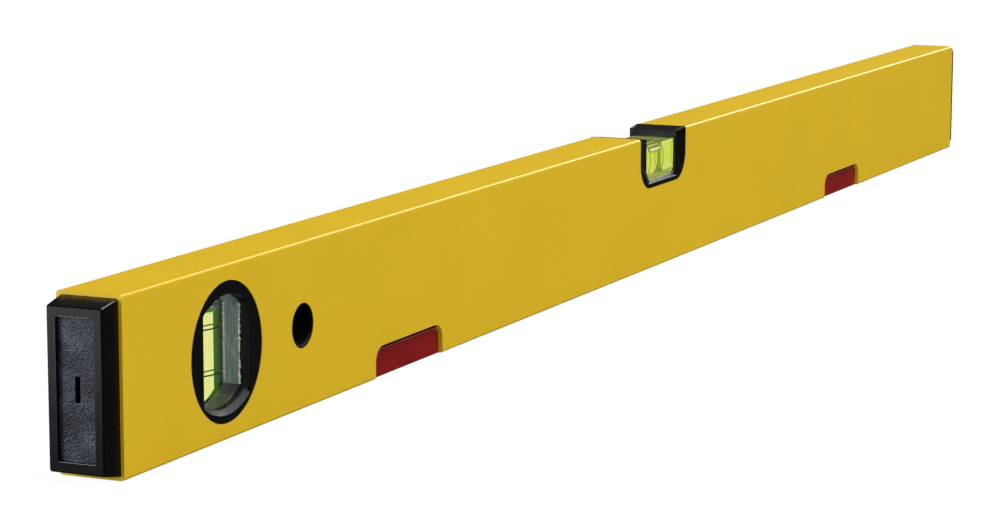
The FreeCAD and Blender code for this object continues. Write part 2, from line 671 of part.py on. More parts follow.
def vial_plug(name, outside):
    """The disc that closes a cavity at its -X end."""
    body = new_body(name)
    section = new_sketch(body, "XY_Plane", "plug_section")
    rectangle(section, opposite(outside), "0", "-Places.plug_inside", "Places.plug_radius")
    revolve(body, "Revolution", section, "plug")
    return body


def vial_fluid(name):
    body = new_body(name)
    section = new_sketch(body, "YZ_Plane", "fluid_circle")
    circle(section, "0", "0", "Places.fluid_radius")
    pad(body, section, "fluid_bar", "Places.fluid_length", "Symmetric")
    return body


def horizontal_vial():
    """The long vial: its block, what is in the cavity, and the resin that it lies on."""
    body = new_body("horizontal_vial_block")
    section = new_sketch(body, "XZ_Plane", "block_outline")
    half = "Places.level_block_half"
    rectangle(section, opposite(half), "Places.level_block_base", half, "Places.level_block_roof")
    pad(body, section, "block", "Sizes.level_block_depth", "Symmetric")
    bore_cavity(body, "Places.level_block_half")
    place(body, z="Places.level_axis")
    place(vial_rings("horizontal_vial_rings"), z="Places.level_axis")
    place(vial_plug("horizontal_vial_plug", "Places.level_block_half"), z="Places.level_axis")
    fluid = vial_fluid("horizontal_vial_fluid")
    space = new_sketch(fluid, "XY_Plane", "bubble_space", "Places.level_hollow_floor")
    reach, side = "Places.level_hollow_reach", "Places.level_hollow_half_width"
    centred_rectangle(space, reach, side, "Places.level_hollow_corner")
    pocket(fluid, space, "bubble_space_cut", "Sizes.cavity_radius", backwards=True)
    place(fluid, z="Places.level_axis")
    horizontal_vial_bubble()
    bed = new_body("horizontal_vial_resin_bed")
    section = new_sketch(bed, "XZ_Plane", "bed_outline")
    rectangle(section, opposite(half), "Places.window_floor", half, "Places.resin_roof")
    pad(bed, section, "bed", "Sizes.level_block_depth", "Symmetric")


def horizontal_vial_bubble():
    """A flat-bottomed oval under the top of the cavity, with the cavity's roundness on its back."""
    body = new_body("horizontal_vial_bubble")
    oval = new_sketch(body, "XY_Plane", "bubble_oval", "Places.level_bubble_floor")
    reach, side = "Places.level_bubble_reach", "Places.level_bubble_half_width"
    centred_rectangle(oval, reach, side, "Sizes.level_bubble_corner")
    pad(body, oval, "oval", "Sizes.level_bubble_height")
    around = new_sketch(body, "YZ_Plane", "bubble_back")
    circle(around, "0", "0", "Places.bubble_radius")
    centred_rectangle(around, "Sizes.cavity_radius", "Sizes.cavity_radius")
    pocket(body, around, "bubble_back_cut")
    place(body, z="Places.level_axis")


def vertical_vial_housing(name, turn=None, tongues=False):
    """One half of the round housing about the middle of its hole, reaching from mid-depth to -Y."""
    body = new_body(name)
    disc = new_sketch(body, "XZ_Plane", "disc_outline")
    circle(disc, "0", "0", "Places.plumb_disc_radius")
    pad(body, disc, "disc", "Places.plumb_disc_depth")
    face = "-Places.plumb_disc_depth"
    opening = new_sketch(body, "XZ_Plane", "opening_outline")
    round_ended(opening, "Places.plumb_opening_half", "Sizes.plumb_opening_arc", "Places.plumb_arc_offset")
    pocket(body, opening, "opening_cut")
    in_face = in_plane("y", face)
    sill = opposite("Places.plumb_opening_reach")
    on_sill = lambda spots: in_face(spots) and near(spots[1].z, sill)
    dress(body, "Chamfer", "sill_chamfer", on_sill, "Sizes.plumb_sill_chamfer")
    fits = new_sketch(body, "XZ_Plane", "tongue_outlines")
    kind = "tongue" if tongues else "socket"
    near_side, far_side, high = f"Places.{kind}_near", f"Places.{kind}_far", f"Places.{kind}_half_height"
    rectangle(fits, near_side, opposite(high), far_side, high)
    rectangle(fits, opposite(far_side), opposite(high), opposite(near_side), high)
    if tongues:
        pad(body, fits, "tongues", "Sizes.tongue_length", backwards=True)
    else:
        pocket(body, fits, "sockets", "Places.socket_depth", backwards=True)
    place(body, x="Places.plumb_x", z="Places.half_height", turn=turn)


def vertical_vial():
    """The plumb vial: the same cavity turned upright, in a block with round ends."""
    here = {"x": "Places.plumb_x", "z": "Places.half_height", "turn": (vector(0, 1, 0), -1)}
    body = new_body("vertical_vial_block")
    section = new_sketch(body, "XZ_Plane", "block_outline", turn=1)
    round_ended(section, "Places.plumb_block_half", "Places.plumb_block_arc", "Places.plumb_arc_offset")
    pad(body, section, "block", "Sizes.plumb_block_depth", "Symmetric")
    bore_cavity(body, "Places.plumb_block_reach")
    place(body, **here)
    place(vial_rings("vertical_vial_rings"), **here)
    place(vial_plug("vertical_vial_plug", "Places.plumb_plug_outside"), **here)
    fluid = vial_fluid("vertical_vial_fluid")
    head = new_sketch(fluid, "YZ_Plane", "air_space", "Places.plumb_meniscus")
    circle(head, "0", "0", "Sizes.cavity_radius")
    pocket(fluid, head, "air_space_cut", "Sizes.cavity_length", backwards=True)
    place(fluid, **here)
    bubble = new_body("vertical_vial_bubble")
    section = new_sketch(bubble, "YZ_Plane", "bubble_circle", "Places.plumb_bubble_top")
    circle(section, "0", "0", "Places.bubble_radius")
    pad(bubble, section, "bubble_disc", "Places.plumb_bubble_tall", backwards=True)
    place(bubble, **here)
    resin = new_body("vertical_vial_resin", several=True)
    strips = new_sketch(resin, "XZ_Plane", "resin_strips")
    near_side, far_side = "Places.plumb_resin_near", "Places.plumb_resin_far"
    high = "Places.plumb_resin_reach"
    rectangle(strips, near_side, opposite(high), far_side, high)
    rectangle(strips, opposite(far_side), opposite(high), opposite(near_side), high)
    pad(resin, strips, "strips", "Sizes.plumb_block_depth", "Symmetric")
    place(resin, x="Places.plumb_x", z="Places.half_height")


def hanging_hole_bush():
    """The bush in the hanging hole, through the whole width."""
    body = new_body("hanging_hole_bush")
    ring = new_sketch(body, "XZ_Plane", "bush_rings")
    circle(ring, "0", "0", "Places.bush_radius")
    circle(ring, "0", "0", "Sizes.hanging_bore_radius")
    pad(body, ring, "bush", "Places.bush_length", "Symmetric")
    for name, level in (("front", "-Places.bush_half_length"), ("rear", "Places.bush_half_length")):
        mouth = on_rim("y", level, "Sizes.hanging_bore_radius")
        dress(body, "Chamfer", f"{name}_mouth_chamfer", mouth, "Sizes.hanging_chamfer")
    place(body, x="Places.hanging_x", z="Places.half_height")


def magnet_set(side, x):
    """A holder in its cut-out, with ledges on the inside of the lower wall, its magnets and plates."""
    body = new_body(f"magnet_holder_{side}")
    section = new_sketch(body, "XZ_Plane", "holder_outline")
    half, ledge = "Places.holder_half", "Places.ledge_half"
    floor, roof, top = "Places.ledge_floor", "Places.ledge_roof", "Sizes.holder_height"
    right = [(half, "0"), (half, floor), (ledge, floor), (ledge, roof), (half, roof)]
    left = [(opposite(across), up) for across, up in reversed(right)]
    corner = "Sizes.holder_corner"
    outline(section, right + [(half, top, corner), (opposite(half), top, corner)] + left)
    pad(body, section, "holder_block", "Places.holder_width", "Symmetric")
    hollow = new_sketch(body, "XY_Plane", "magnet_pocket")
    centred_rectangle(hollow, "Places.magnet_pocket_half", "Places.magnet_pocket_half_width")
    pocket(body, hollow, "magnet_pocket_cut", "Sizes.magnet_pocket_depth", backwards=True)
    place(body, x=x)
    plates = new_body(f"pole_plates_{side}", several=True)
    section = new_sketch(plates, "XY_Plane", "plate_outlines", "Sizes.magnet_inset")
    half, near_side, far_side = "Places.plate_half", "Places.plate_inside", "Places.plate_outside"
    rectangle(section, opposite(half), near_side, half, far_side)
    rectangle(section, opposite(half), opposite(far_side), half, opposite(near_side))
    pad(plates, section, "plates", "Places.plate_height")
    place(plates, x=x)
    magnets = new_body(f"magnets_{side}", several=True)
    section = new_sketch(magnets, "XY_Plane", "magnet_outlines", "Sizes.magnet_inset")
    width = "Places.magnet_half_width"
    start, end, middle = "Places.side_magnet_start", "Places.plate_half", "Places.magnet_half"
    for low, high in ((opposite(end), opposite(start)), (opposite(middle), middle), (start, end)):
        rectangle(section, low, opposite(width), high, width)
    pad(magnets, section, "magnet_blocks", "Places.plate_height")
    place(magnets, x=x)


def check_all():
    """Stops before anything is written if an object failed or a sub-part isn't sound."""
    for thing in doc.Objects:
        if "Invalid" in thing.State or "Error" in thing.State:
            raise RuntimeError(f"{thing.Label} is not built")
    for name, body in parts.items():
        shape = body.Shape
        if shape.isNull() or not shape.isValid() or not shape.Solids:
            raise RuntimeError(f"{name} is not a sound solid")


half_turn = (vector(0, 0, 1), 2)
make_sheet("Sizes", SIZES)
make_sheet("Places", PLACES)
box_profile()
end_cap("end_cap_right", "Places.half_length")
end_cap("end_cap_left", "-Places.half_length", turn=half_turn)
horizontal_vial_housing()
horizontal_vial()
vertical_vial_housing("vertical_vial_housing_front", tongues=True)
vertical_vial_housing("vertical_vial_housing_rear", turn=half_turn)
vertical_vial()
hanging_hole_bush()
magnet_set("left", "-Places.magnet_x")
magnet_set("right", "Places.magnet_x")
doc.recompute()
check_all()

os.makedirs("parts", exist_ok=True)
for name, body in parts.items():
    body.Shape.exportStep(f"parts/{name}.step")
    print(name, len(body.Shape.Solids), round(body.Shape.Volume, 2))
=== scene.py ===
import math

import bmesh
import bpy
from mathutils import Euler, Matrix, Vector, noise


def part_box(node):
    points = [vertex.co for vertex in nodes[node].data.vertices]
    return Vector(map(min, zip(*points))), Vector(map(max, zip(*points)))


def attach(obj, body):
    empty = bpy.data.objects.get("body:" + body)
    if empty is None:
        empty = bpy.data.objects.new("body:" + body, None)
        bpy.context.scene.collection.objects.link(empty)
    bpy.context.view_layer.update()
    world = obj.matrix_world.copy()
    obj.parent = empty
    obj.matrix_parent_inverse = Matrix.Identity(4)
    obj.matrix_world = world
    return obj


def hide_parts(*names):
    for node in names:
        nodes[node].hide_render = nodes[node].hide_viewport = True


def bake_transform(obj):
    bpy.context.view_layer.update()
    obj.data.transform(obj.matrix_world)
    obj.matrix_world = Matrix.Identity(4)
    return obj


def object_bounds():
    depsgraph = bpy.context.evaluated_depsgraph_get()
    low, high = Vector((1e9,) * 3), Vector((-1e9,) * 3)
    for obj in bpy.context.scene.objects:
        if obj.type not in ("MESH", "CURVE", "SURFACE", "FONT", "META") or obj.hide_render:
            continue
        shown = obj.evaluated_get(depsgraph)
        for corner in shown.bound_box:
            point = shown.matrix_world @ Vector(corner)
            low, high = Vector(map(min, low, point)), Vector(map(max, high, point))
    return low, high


# A box-section spirit level, in the frame of its CAD model: metres, with X along the level, Y
# towards its rear and Z up, and the middle of the measuring face as the origin.

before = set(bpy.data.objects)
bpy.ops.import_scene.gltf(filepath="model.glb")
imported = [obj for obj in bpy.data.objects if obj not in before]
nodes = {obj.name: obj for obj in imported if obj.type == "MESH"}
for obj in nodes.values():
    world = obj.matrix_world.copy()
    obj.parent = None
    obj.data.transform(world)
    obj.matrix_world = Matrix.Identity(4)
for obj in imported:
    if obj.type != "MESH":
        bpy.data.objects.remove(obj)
cad_low, cad_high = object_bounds()
MM = 0.001

# Places read from the frame
_, profile_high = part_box("box_profile")
HALF_WIDTH = profile_high.y
TOP = profile_high.z
MID_HEIGHT = TOP / 2
_, housing_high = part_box("horizontal_vial_housing")
level_block_low, level_block_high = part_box("horizontal_vial_block")
plumb_block_low, plumb_block_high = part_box("vertical_vial_block")
level_fluid_low, level_fluid_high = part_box("horizontal_vial_fluid")
level_bubble_low, level_bubble_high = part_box("horizontal_vial_bubble")
plumb_bubble_low, plumb_bubble_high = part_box("vertical_vial_bubble")
level_ring_low, level_ring_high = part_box("horizontal_vial_rings")
LEVEL_AXIS = (level_ring_low.z + level_ring_high.z) / 2
PLUMB_X = (plumb_block_low.x + plumb_block_high.x) / 2

# Sizes that both vials share. The cavity is a barrel, thinner at its ends by the sag.
VIAL_RADIUS = 5.22 * MM
VIAL_SAG = 0.2 * MM
VIAL_HALF = (level_fluid_high.x - level_fluid_low.x) / 2
RING_HALF_WIDTH = 0.2 * MM
RING_PLACE = 6.55 * MM
RING_DEPTH = 0.14 * MM
FILM = 0.07 * MM
PART_GAP = 0.01 * MM
EMBED = 0.12 * MM
SEAT_GAP = 0.02 * MM
EDGE_ROUND = 0.12 * MM

# How finely round forms are divided
ROUND_SEGMENTS = 96
CORNER_STEPS = 8
END_ARC_STEPS = 48
BEAD_SIDES = 12
GLUE_SIDES = 10
GLUE_STEPS = 110
BARREL_STEPS = 40
BUBBLE_STEPS = 22


# Node trees

def new_material(name):
    material = bpy.data.materials.new(name)
    material.use_nodes = True
    tree = material.node_tree
    tree.nodes.clear()
    output = tree.nodes.new("ShaderNodeOutputMaterial")
    shader = tree.nodes.new("ShaderNodeBsdfPrincipled")
    tree.links.new(shader.outputs["BSDF"], output.inputs["Surface"])
    return material, tree, shader, output


def add_node(tree, kind, **values):
    """A node with its settings and plain input values given by name."""
    node = tree.nodes.new(kind)
    for key, value in values.items():
        if hasattr(node, key):
            setattr(node, key, value)
        else:
            node.inputs[key.replace("_", " ")].default_value = value
    return node


def object_place(tree):
    return add_node(tree, "ShaderNodeTexCoord").outputs["Object"]


def stretched_place(tree, stretch):
    """Places in the object, scaled on each axis, so that a pattern lies along one of them."""
    node = add_node(tree, "ShaderNodeMapping")
    node.inputs["Scale"].default_value = stretch
    tree.links.new(object_place(tree), node.inputs["Vector"])
    return node.outputs["Vector"]


def noise_value(tree, scale, detail=3.0, roughness=0.5, place=None):
    """Noise through the object. Its scale is a count per metre."""
    node = add_node(tree, "ShaderNodeTexNoise", Scale=scale, Detail=detail, Roughness=roughness)
    tree.links.new(place or object_place(tree), node.inputs["Vector"])
    return node.outputs["Fac"]


def ramp(tree, value, stops):
    """A colour that follows a value, through stops that each have a position and a colour."""
    node = add_node(tree, "ShaderNodeValToRGB")
    elements = node.color_ramp.elements
    elements[0].position, elements[0].color = stops[0][0], (*stops[0][1], 1)
    elements[1].position, elements[1].color = stops[-1][0], (*stops[-1][1], 1)
    for position, colour in stops[1:-1]:
        elements.new(position).color = (*colour, 1)
    tree.links.new(value, node.inputs["Fac"])
    return node.outputs["Color"]


def spread(tree, value, low, high):
    """A value from 0 to 1 spread over a range."""
    node = add_node(tree, "ShaderNodeMapRange", To_Min=low, To_Max=high)
    tree.links.new(value, node.inputs["Value"])
    return node.outputs["Result"]


def sum_of(tree, first, second, share):
    """The first value, and a share of the second."""
    node = add_node(tree, "ShaderNodeMath", operation="MULTIPLY_ADD")
    tree.links.new(second, node.inputs[0])
    node.inputs[1].default_value = share
    tree.links.new(first, node.inputs[2])
    return node.outputs[0]


def bump(tree, shader, height, depth_mm, strength=1.0):
    node = add_node(tree, "ShaderNodeBump", Strength=strength, Distance=depth_mm * MM)
    tree.links.new(height, node.inputs["Height"])
    tree.links.new(node.outputs["Normal"], shader.inputs["Normal"])


def colour_by(tree, shader, value, stops):
    tree.links.new(ramp(tree, value, stops), shader.inputs["Base Color"])


def roughness_by(tree, shader, value, low, high):
    tree.links.new(spread(tree, value, low, high), shader.inputs["Roughness"])


# Materials

VOLUME_DENSITY = 1000.0
# How far along X from the plumb vial's middle the painted green light reaches.
GREEN_LIGHT_REACH = 8.6 * MM


def powder_coat():
    """Yellow powder coat: a faint orange-peel surface, slightly uneven in colour and gloss."""
    material, tree, shader, _ = new_material("yellow_powder_coat")
    shader.inputs["Specular IOR Level"].default_value = 0.3
    stops = [(0.3, (0.645, 0.42, 0.0085)), (0.5, (0.66, 0.431, 0.009)), (0.72, (0.674, 0.442, 0.0096))]
    colour_by(tree, shader, noise_value(tree, scale=34, detail=4), stops)
    roughness_by(tree, shader, noise_value(tree, scale=260), low=0.28, high=0.34)
    peel = noise_value(tree, scale=950, detail=2)
    fine = noise_value(tree, scale=5200, detail=2)
    bump(tree, shader, sum_of(tree, peel, fine, 0.3), depth_mm=0.008, strength=0.4)
    return material


def black_plastic(name, colour, rough, grain_mm, specular=0.35):
    """Moulded black plastic with a fine grain."""
    material, tree, shader, _ = new_material(name)
    shader.inputs["Specular IOR Level"].default_value = specular
    dark = tuple(c * 0.75 for c in colour)
    light = tuple(c * 1.3 for c in colour)
    colour_by(tree, shader, noise_value(tree, scale=120), [(0.3, dark), (0.7, light)])
    roughness_by(tree, shader, noise_value(tree, scale=500), low=rough - 0.06, high=rough + 0.08)
    bump(tree, shader, noise_value(tree, scale=2600), depth_mm=grain_mm, strength=0.6)
    return material


def field_plastic():
    """The caps' sparked field: dark plastic, whose fine pale specks of colour are painted glints on the
    grain.
    """
    material, tree, shader, _ = new_material("cap_field_plastic")
    shader.inputs["Specular IOR Level"].default_value = 0.3
    shader.inputs["Roughness"].default_value = 0.45
    painted_glints = noise_value(tree, scale=2300, detail=2, roughness=0.7)
    patches = noise_value(tree, scale=150)
    # The pale end of these stops is painted glints on the grain.
    stops = [(0.6, (0.003, 0.005, 0.009)), (0.76, (0.012, 0.016, 0.025)), (0.95, (0.08, 0.096, 0.13))]
    colour_by(tree, shader, sum_of(tree, painted_glints, patches, 0.5), stops)
    bump(tree, shader, noise_value(tree, scale=3800), depth_mm=0.03, strength=0.6)
    return material


def red_plastic(name, dark, light):
    """Moulded red plastic, uneven between two shades."""
    material, tree, shader, _ = new_material(name)
    shader.inputs["Specular IOR Level"].default_value = 0.3
    colour_by(tree, shader, noise_value(tree, scale=90), [(0.3, dark), (0.7, light)])
    roughness_by(tree, shader, noise_value(tree, scale=700), low=0.3, high=0.42)
    bump(tree, shader, noise_value(tree, scale=2400), depth_mm=0.02, strength=0.5)
    return material


def metal(name, colour, rough, streak):
    """Metal with fine marks along X, as from grinding or plating."""
    material, tree, shader, _ = new_material(name)
    shader.inputs["Metallic"].default_value = 1.0
    marks = noise_value(tree, scale=1800, detail=4, place=stretched_place(tree, (streak, 1.0, 1.0)))
    dark = tuple(c * 0.8 for c in colour)
    colour_by(tree, shader, marks, [(0.3, dark), (0.7, colour)])
    roughness_by(tree, shader, marks, low=rough - 0.08, high=rough + 0.1)
    bump(tree, shader, marks, depth_mm=0.01, strength=0.5)
    return material


def clear(name, ior):
    material, tree, shader, output = new_material(name)
    shader.inputs["Base Color"].default_value = (1, 1, 1, 1)
    shader.inputs["Roughness"].default_value = 0.0
    shader.inputs["IOR"].default_value = ior
    shader.inputs["Transmission Weight"].default_value = 1.0
    return material, tree, shader, output


def tinted(name, ior, absorbed):
    """A clear material, its surface faintly uneven, whose inside takes up light."""
    material, tree, shader, output = clear(name, ior)
    volume = add_node(tree, "ShaderNodeVolumeAbsorption", Density=VOLUME_DENSITY)
    volume.inputs["Color"].default_value = (*(1 - share for share in absorbed), 1)
    tree.links.new(volume.outputs[0], output.inputs["Volume"])
    bump(tree, shader, noise_value(tree, scale=700, detail=2), depth_mm=0.002, strength=0.3)
    return material


def dyed_with_painted_glow(name, ior, absorbed, painted_glow_colour, glow):
    """A clear material whose inside takes up light, and glows with a painted glow that stands in for the
    light scattered inside it.
    """
    material, tree, _, output = clear(name, ior)
    volume = add_node(tree, "ShaderNodeVolumeAbsorption", Density=VOLUME_DENSITY)
    volume.inputs["Color"].default_value = (*(1 - share for share in absorbed), 1)
    light = add_node(tree, "ShaderNodeEmission", Strength=glow)
    light.inputs["Color"].default_value = (*painted_glow_colour, 1)
    both = add_node(tree, "ShaderNodeAddShader")
    tree.links.new(volume.outputs[0], both.inputs[0])
    tree.links.new(light.outputs[0], both.inputs[1])
    tree.links.new(both.outputs[0], output.inputs["Volume"])
    return material


def near_plumb_middle(tree):
    """One near the plumb vial's middle along X, and zero beyond."""
    parts = add_node(tree, "ShaderNodeSeparateXYZ")
    tree.links.new(object_place(tree), parts.inputs[0])
    node = add_node(tree, "ShaderNodeMath", operation="COMPARE")
    tree.links.new(parts.outputs["X"], node.inputs[0])
    node.inputs[1].default_value = PLUMB_X
    node.inputs[2].default_value = GREEN_LIGHT_REACH
    return node.outputs[0]


def resin(name, stops, middle_light_stops=None):
    """Casting resin, cloudy and streaked upright, and if asked, with other colours near the plumb vial's
    middle, used there for a painted green light from the fluid.
    """
    material, tree, shader, _ = new_material(name)
    shader.inputs["Roughness"].default_value = 0.5
    upright = stretched_place(tree, (1.0, 1.0, 0.16))
    streaks = noise_value(tree, scale=900, detail=4, roughness=0.6, place=upright)
    cloud = noise_value(tree, scale=260, detail=4)
    pattern = sum_of(tree, streaks, cloud, 0.5)
    if middle_light_stops is None:
        colour_by(tree, shader, pattern, stops)
    else:
        mix = add_node(tree, "ShaderNodeMix", data_type="RGBA")
        tree.links.new(near_plumb_middle(tree), mix.inputs["Factor"])
        tree.links.new(ramp(tree, pattern, stops), mix.inputs["A"])
        tree.links.new(ramp(tree, pattern, middle_light_stops), mix.inputs["B"])
        tree.links.new(mix.outputs["Result"], shader.inputs["Base Color"])
    bump(tree, shader, noise_value(tree, scale=1500, detail=4), depth_mm=0.08, strength=0.8)
    return material


def glue():
    """Cured glue squeezed out at a block's edges: pale and uneven."""
    material, tree, shader, _ = new_material("cured_glue")
    shader.inputs["Roughness"].default_value = 0.25
    stops = [(0.3, (0.3, 0.36, 0.26)), (0.5, (0.62, 0.7, 0.52)), (0.66, (0.95, 0.98, 0.88))]
    colour_by(tree, shader, noise_value(tree, scale=900, detail=5), stops)
    bump(tree, shader, noise_value(tree, scale=2500, detail=4), depth_mm=0.1)
    return material


coat = powder_coat()
cap_black = black_plastic("cap_black_plastic", (0.0015, 0.0016, 0.002), rough=0.28, grain_mm=0.01)
field_black = field_plastic()
housing_black = black_plastic(
    "housing_black_plastic", (0.002, 0.002, 0.0023), rough=0.4, grain_mm=0.006, specular=0.18,
)
bush_black = black_plastic(
    "bush_black_plastic", (0.001, 0.001, 0.0012), rough=0.6, grain_mm=0.006, specular=0.1,
)
edge_black = black_plastic(
    "moulded_edge_plastic", (0.006, 0.006, 0.007), rough=0.26, grain_mm=0.0, specular=0.9,
)
ring_black = black_plastic("reading_ring_black", (0.004, 0.005, 0.003), rough=0.5, grain_mm=0.01)
holder_red = red_plastic("red_holder_plastic", (0.19, 0.0015, 0.003), (0.25, 0.003, 0.0045))
# A lighter red for the holders' upper edges: a painted highlight.
red_painted_highlight = red_plastic("red_holder_painted_highlight", (0.46, 0.14, 0.14), (0.55, 0.2, 0.2))
magnet_metal = metal("nickel_plate", (0.62, 0.61, 0.58), rough=0.3, streak=1.0)
plate_metal = metal("pole_plate_steel", (0.45, 0.45, 0.46), rough=0.4, streak=0.06)

# The fluid lies inside a solid block of acrylic and bends light about as much, so its index
# against the block is 1. The air's index is that of the fluid, because its wall is inside out.
acrylic_clear = tinted("clear_acrylic", 1.49, absorbed=(0.003, 0.0018, 0.006))
# The level's block and both fluids glow: a painted glow in place of the light that scatters inside them.
acrylic_glowing = dyed_with_painted_glow(
    "yellow_green_acrylic_painted_glow", 1.49, absorbed=(0.026, 0.021, 0.08), painted_glow_colour=(0.95, 0.95, 0.36), glow=13.5,
)
fluid_green_painted_glow = dyed_with_painted_glow(
    "vial_fluid", 1.0, absorbed=(0.009, 0.017, 0.105), painted_glow_colour=(0.2, 0.9, 0.12), glow=16.0,
)
bubble_skin, *_ = clear("fluid_against_air", 1.43)

GREY_STOPS = [
    (0.55, (0.11, 0.14, 0.17)), (0.75, (0.21, 0.26, 0.31)), (0.9, (0.29, 0.34, 0.4)), (1.0, (0.7, 0.76, 0.8)),
]
# For the bottom resin: darker stops as painted shade under the plumb vial, and greener stops in its middle as
# painted green light from the fluid.
SHADE_STOPS = [(0.55, (0.012, 0.017, 0.02)), (0.85, (0.05, 0.062, 0.068)), (1.0, (0.2, 0.23, 0.24))]
PAINTED_GREEN_LIGHT_STOPS = [(0.6, (0.03, 0.038, 0.02)), (0.8, (0.1, 0.14, 0.05)), (1.0, (0.3, 0.38, 0.16))]
PALE_STOPS = [(0.5, (0.4, 0.44, 0.33)), (0.75, (0.52, 0.56, 0.44)), (1.0, (0.66, 0.7, 0.58))]
resin_grey = resin("grey_casting_resin", GREY_STOPS)
resin_end = resin("end_resin_painted_shade", SHADE_STOPS, PAINTED_GREEN_LIGHT_STOPS)
resin_pale = resin("pale_casting_resin", PALE_STOPS)
glue_pale = glue()

DRESSING = {
    "box_profile": coat,
    "end_cap_left": cap_black,
    "end_cap_right": cap_black,
    "horizontal_vial_housing": housing_black,
    "vertical_vial_housing_front": housing_black,
    "vertical_vial_housing_rear": housing_black,
    "hanging_hole_bush": bush_black,
    "magnet_holder_left": holder_red,
    "magnet_holder_right": holder_red,
    "magnets_left": magnet_metal,
    "magnets_right": magnet_metal,
    "pole_plates_left": plate_metal,
    "pole_plates_right": plate_metal,
    "horizontal_vial_resin_bed": resin_pale,
    "vertical_vial_resin": resin_grey,
}
for node_name, material in DRESSING.items():
    node_mesh = nodes[node_name].data
    node_mesh.materials.clear()
    node_mesh.materials.append(material)


# Meshes

def add_piece(name, bm, material, sharp_angle, body="level", replaced=(), inside_out=False):
    """Makes a piece of the object from a bmesh. An inside-out piece is a hollow's wall."""
    bmesh.ops.recalc_face_normals(bm, faces=bm.faces)
    if inside_out:
        bmesh.ops.reverse_faces(bm, faces=bm.faces)
    mesh = bpy.data.meshes.new(name)
    bm.to_mesh(mesh)
    bm.free()
    mesh.materials.append(material)
    mesh.shade_smooth()
    mesh.set_sharp_from_angle(angle=math.radians(sharp_angle))
    piece = bpy.data.objects.new(name, mesh)
    bpy.context.scene.collection.objects.link(piece)
    if body is not None:
        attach(piece, body)
    if replaced:
        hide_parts(*replaced)
    return piece


def as_it_is(point):
    return point


def level_place(point):
    """A vial point moved up to the horizontal vial's axis."""
    return Vector((point.x, point.y, point.z + LEVEL_AXIS))


def plumb_place(point):
    """A vial point, whose axis is X, turned upright in the round hole."""
    return Vector((PLUMB_X - point.z, point.y, point.x + MID_HEIGHT))


def barrel_radius(x):
    return VIAL_RADIUS - VIAL_SAG * (x / VIAL_HALF) ** 2


def round_turns():
    """Turns about the vial's axis, from one side over the top and back under the bottom."""
    return [(2 * i / ROUND_SEGMENTS - 0.5) * math.pi for i in range(ROUND_SEGMENTS)]


def full_circle(count):
    return [2 * math.pi * i / count for i in range(count)]


def ring_of_points(x, radius):
    return [Vector((x, radius * math.sin(turn), radius * math.cos(turn))) for turn in round_turns()]


def bridge(bm, first, second):
    count = len(first)
    for i in range(count):
        j = (i + 1) % count
        bm.faces.new((first[i], first[j], second[j], second[i]))


def skin(bm, loops, place=as_it_is, close_start=True, close_end=True):
    """A tube through loops of points, each loop closed."""
    rings = [[bm.verts.new(place(point)) for point in loop] for loop in loops]
    for first, second in zip(rings, rings[1:]):
        bridge(bm, first, second)
    if close_start:
        bm.faces.new(rings[0])
    if close_end:
        bm.faces.new(rings[-1])
    return rings


def steps(low, high, count):
    """Even steps from one value to another, both of them included."""
    return [low + (high - low) * i / count for i in range(count + 1)]


def reading_rings(name, place):
    """The two dark lines around a vial, made as thin square rings."""
    bm = bmesh.new()
    inner = VIAL_RADIUS + PART_GAP
    outer = inner + RING_DEPTH
    for middle in (-RING_PLACE, RING_PLACE):
        low, high = middle - RING_HALF_WIDTH, middle + RING_HALF_WIDTH
        stations = [(low, inner), (low, outer), (high, outer), (high, inner)]
        rings = skin(bm, [ring_of_points(*station) for station in stations], place, False, False)
        bridge(bm, rings[3], rings[0])
    replaced = [name.replace("_lines", "_rings")]
    add_piece(name, bm, ring_black, replaced=replaced, sharp_angle=40)


def corner_arc(x, z, radius, start, end):
    """Places along a corner's arc, with turns in degrees from +X towards +Z."""
    turns = [math.radians(turn) for turn in steps(start, end, CORNER_STEPS)]
    return [(x + radius * math.cos(turn), z + radius * math.sin(turn)) for turn in turns]


def edge_bead(name, paths, radius, material):
    """Thin round lines along edges, which catch the light as moulded edges do."""
    across = Vector((0, 1, 0))
    bm = bmesh.new()
    for path in paths:
        loops = []
        for before, spot, after in zip([path[0]] + path, path, path[1:] + [path[-1]]):
            upright = (after - before).cross(across).normalized()
            loops.append([
                spot + radius * (math.cos(turn) * across + math.sin(turn) * upright)
                for turn in full_circle(BEAD_SIDES)
            ])
        skin(bm, loops)
    add_piece(name, bm, material, sharp_angle=80)


# The saddle's moulded edges

BEAD_RADIUS = 0.2 * MM
FIT_GAP = 0.05 * MM
RESIN_BED = 0.3 * MM
WINDOW_SLOPE = 1.1 * MM
PILLAR_DROP = 0.9 * MM
WINDOW_CORNER = 4.0 * MM + BEAD_RADIUS / 2
WINDOW_HALF = level_block_high.x + FIT_GAP + BEAD_RADIUS / 2
WINDOW_SILL = level_block_low.z - RESIN_BED - BEAD_RADIUS / 2
WINDOW_Y = HALF_WIDTH - WINDOW_SLOPE - BEAD_RADIUS / 2
PILLAR_TOP = TOP - PILLAR_DROP - BEAD_RADIUS / 2
PILLAR_END = Vector((housing_high.x - BEAD_RADIUS, HALF_WIDTH - BEAD_RADIUS, TOP - BEAD_RADIUS))


def window_path(side_y):
    """Down one side of the window, along its sill and up the other side."""
    inner = WINDOW_HALF - WINDOW_CORNER
    spots = [(-WINDOW_HALF, PILLAR_TOP)]
    spots += corner_arc(-inner, WINDOW_SILL + WINDOW_CORNER, WINDOW_CORNER, 180, 270)
    spots += corner_arc(inner, WINDOW_SILL + WINDOW_CORNER, WINDOW_CORNER, 270, 360)
    spots.append((WINDOW_HALF, PILLAR_TOP))
    return [Vector((x, side_y * WINDOW_Y, z)) for x, z in spots]


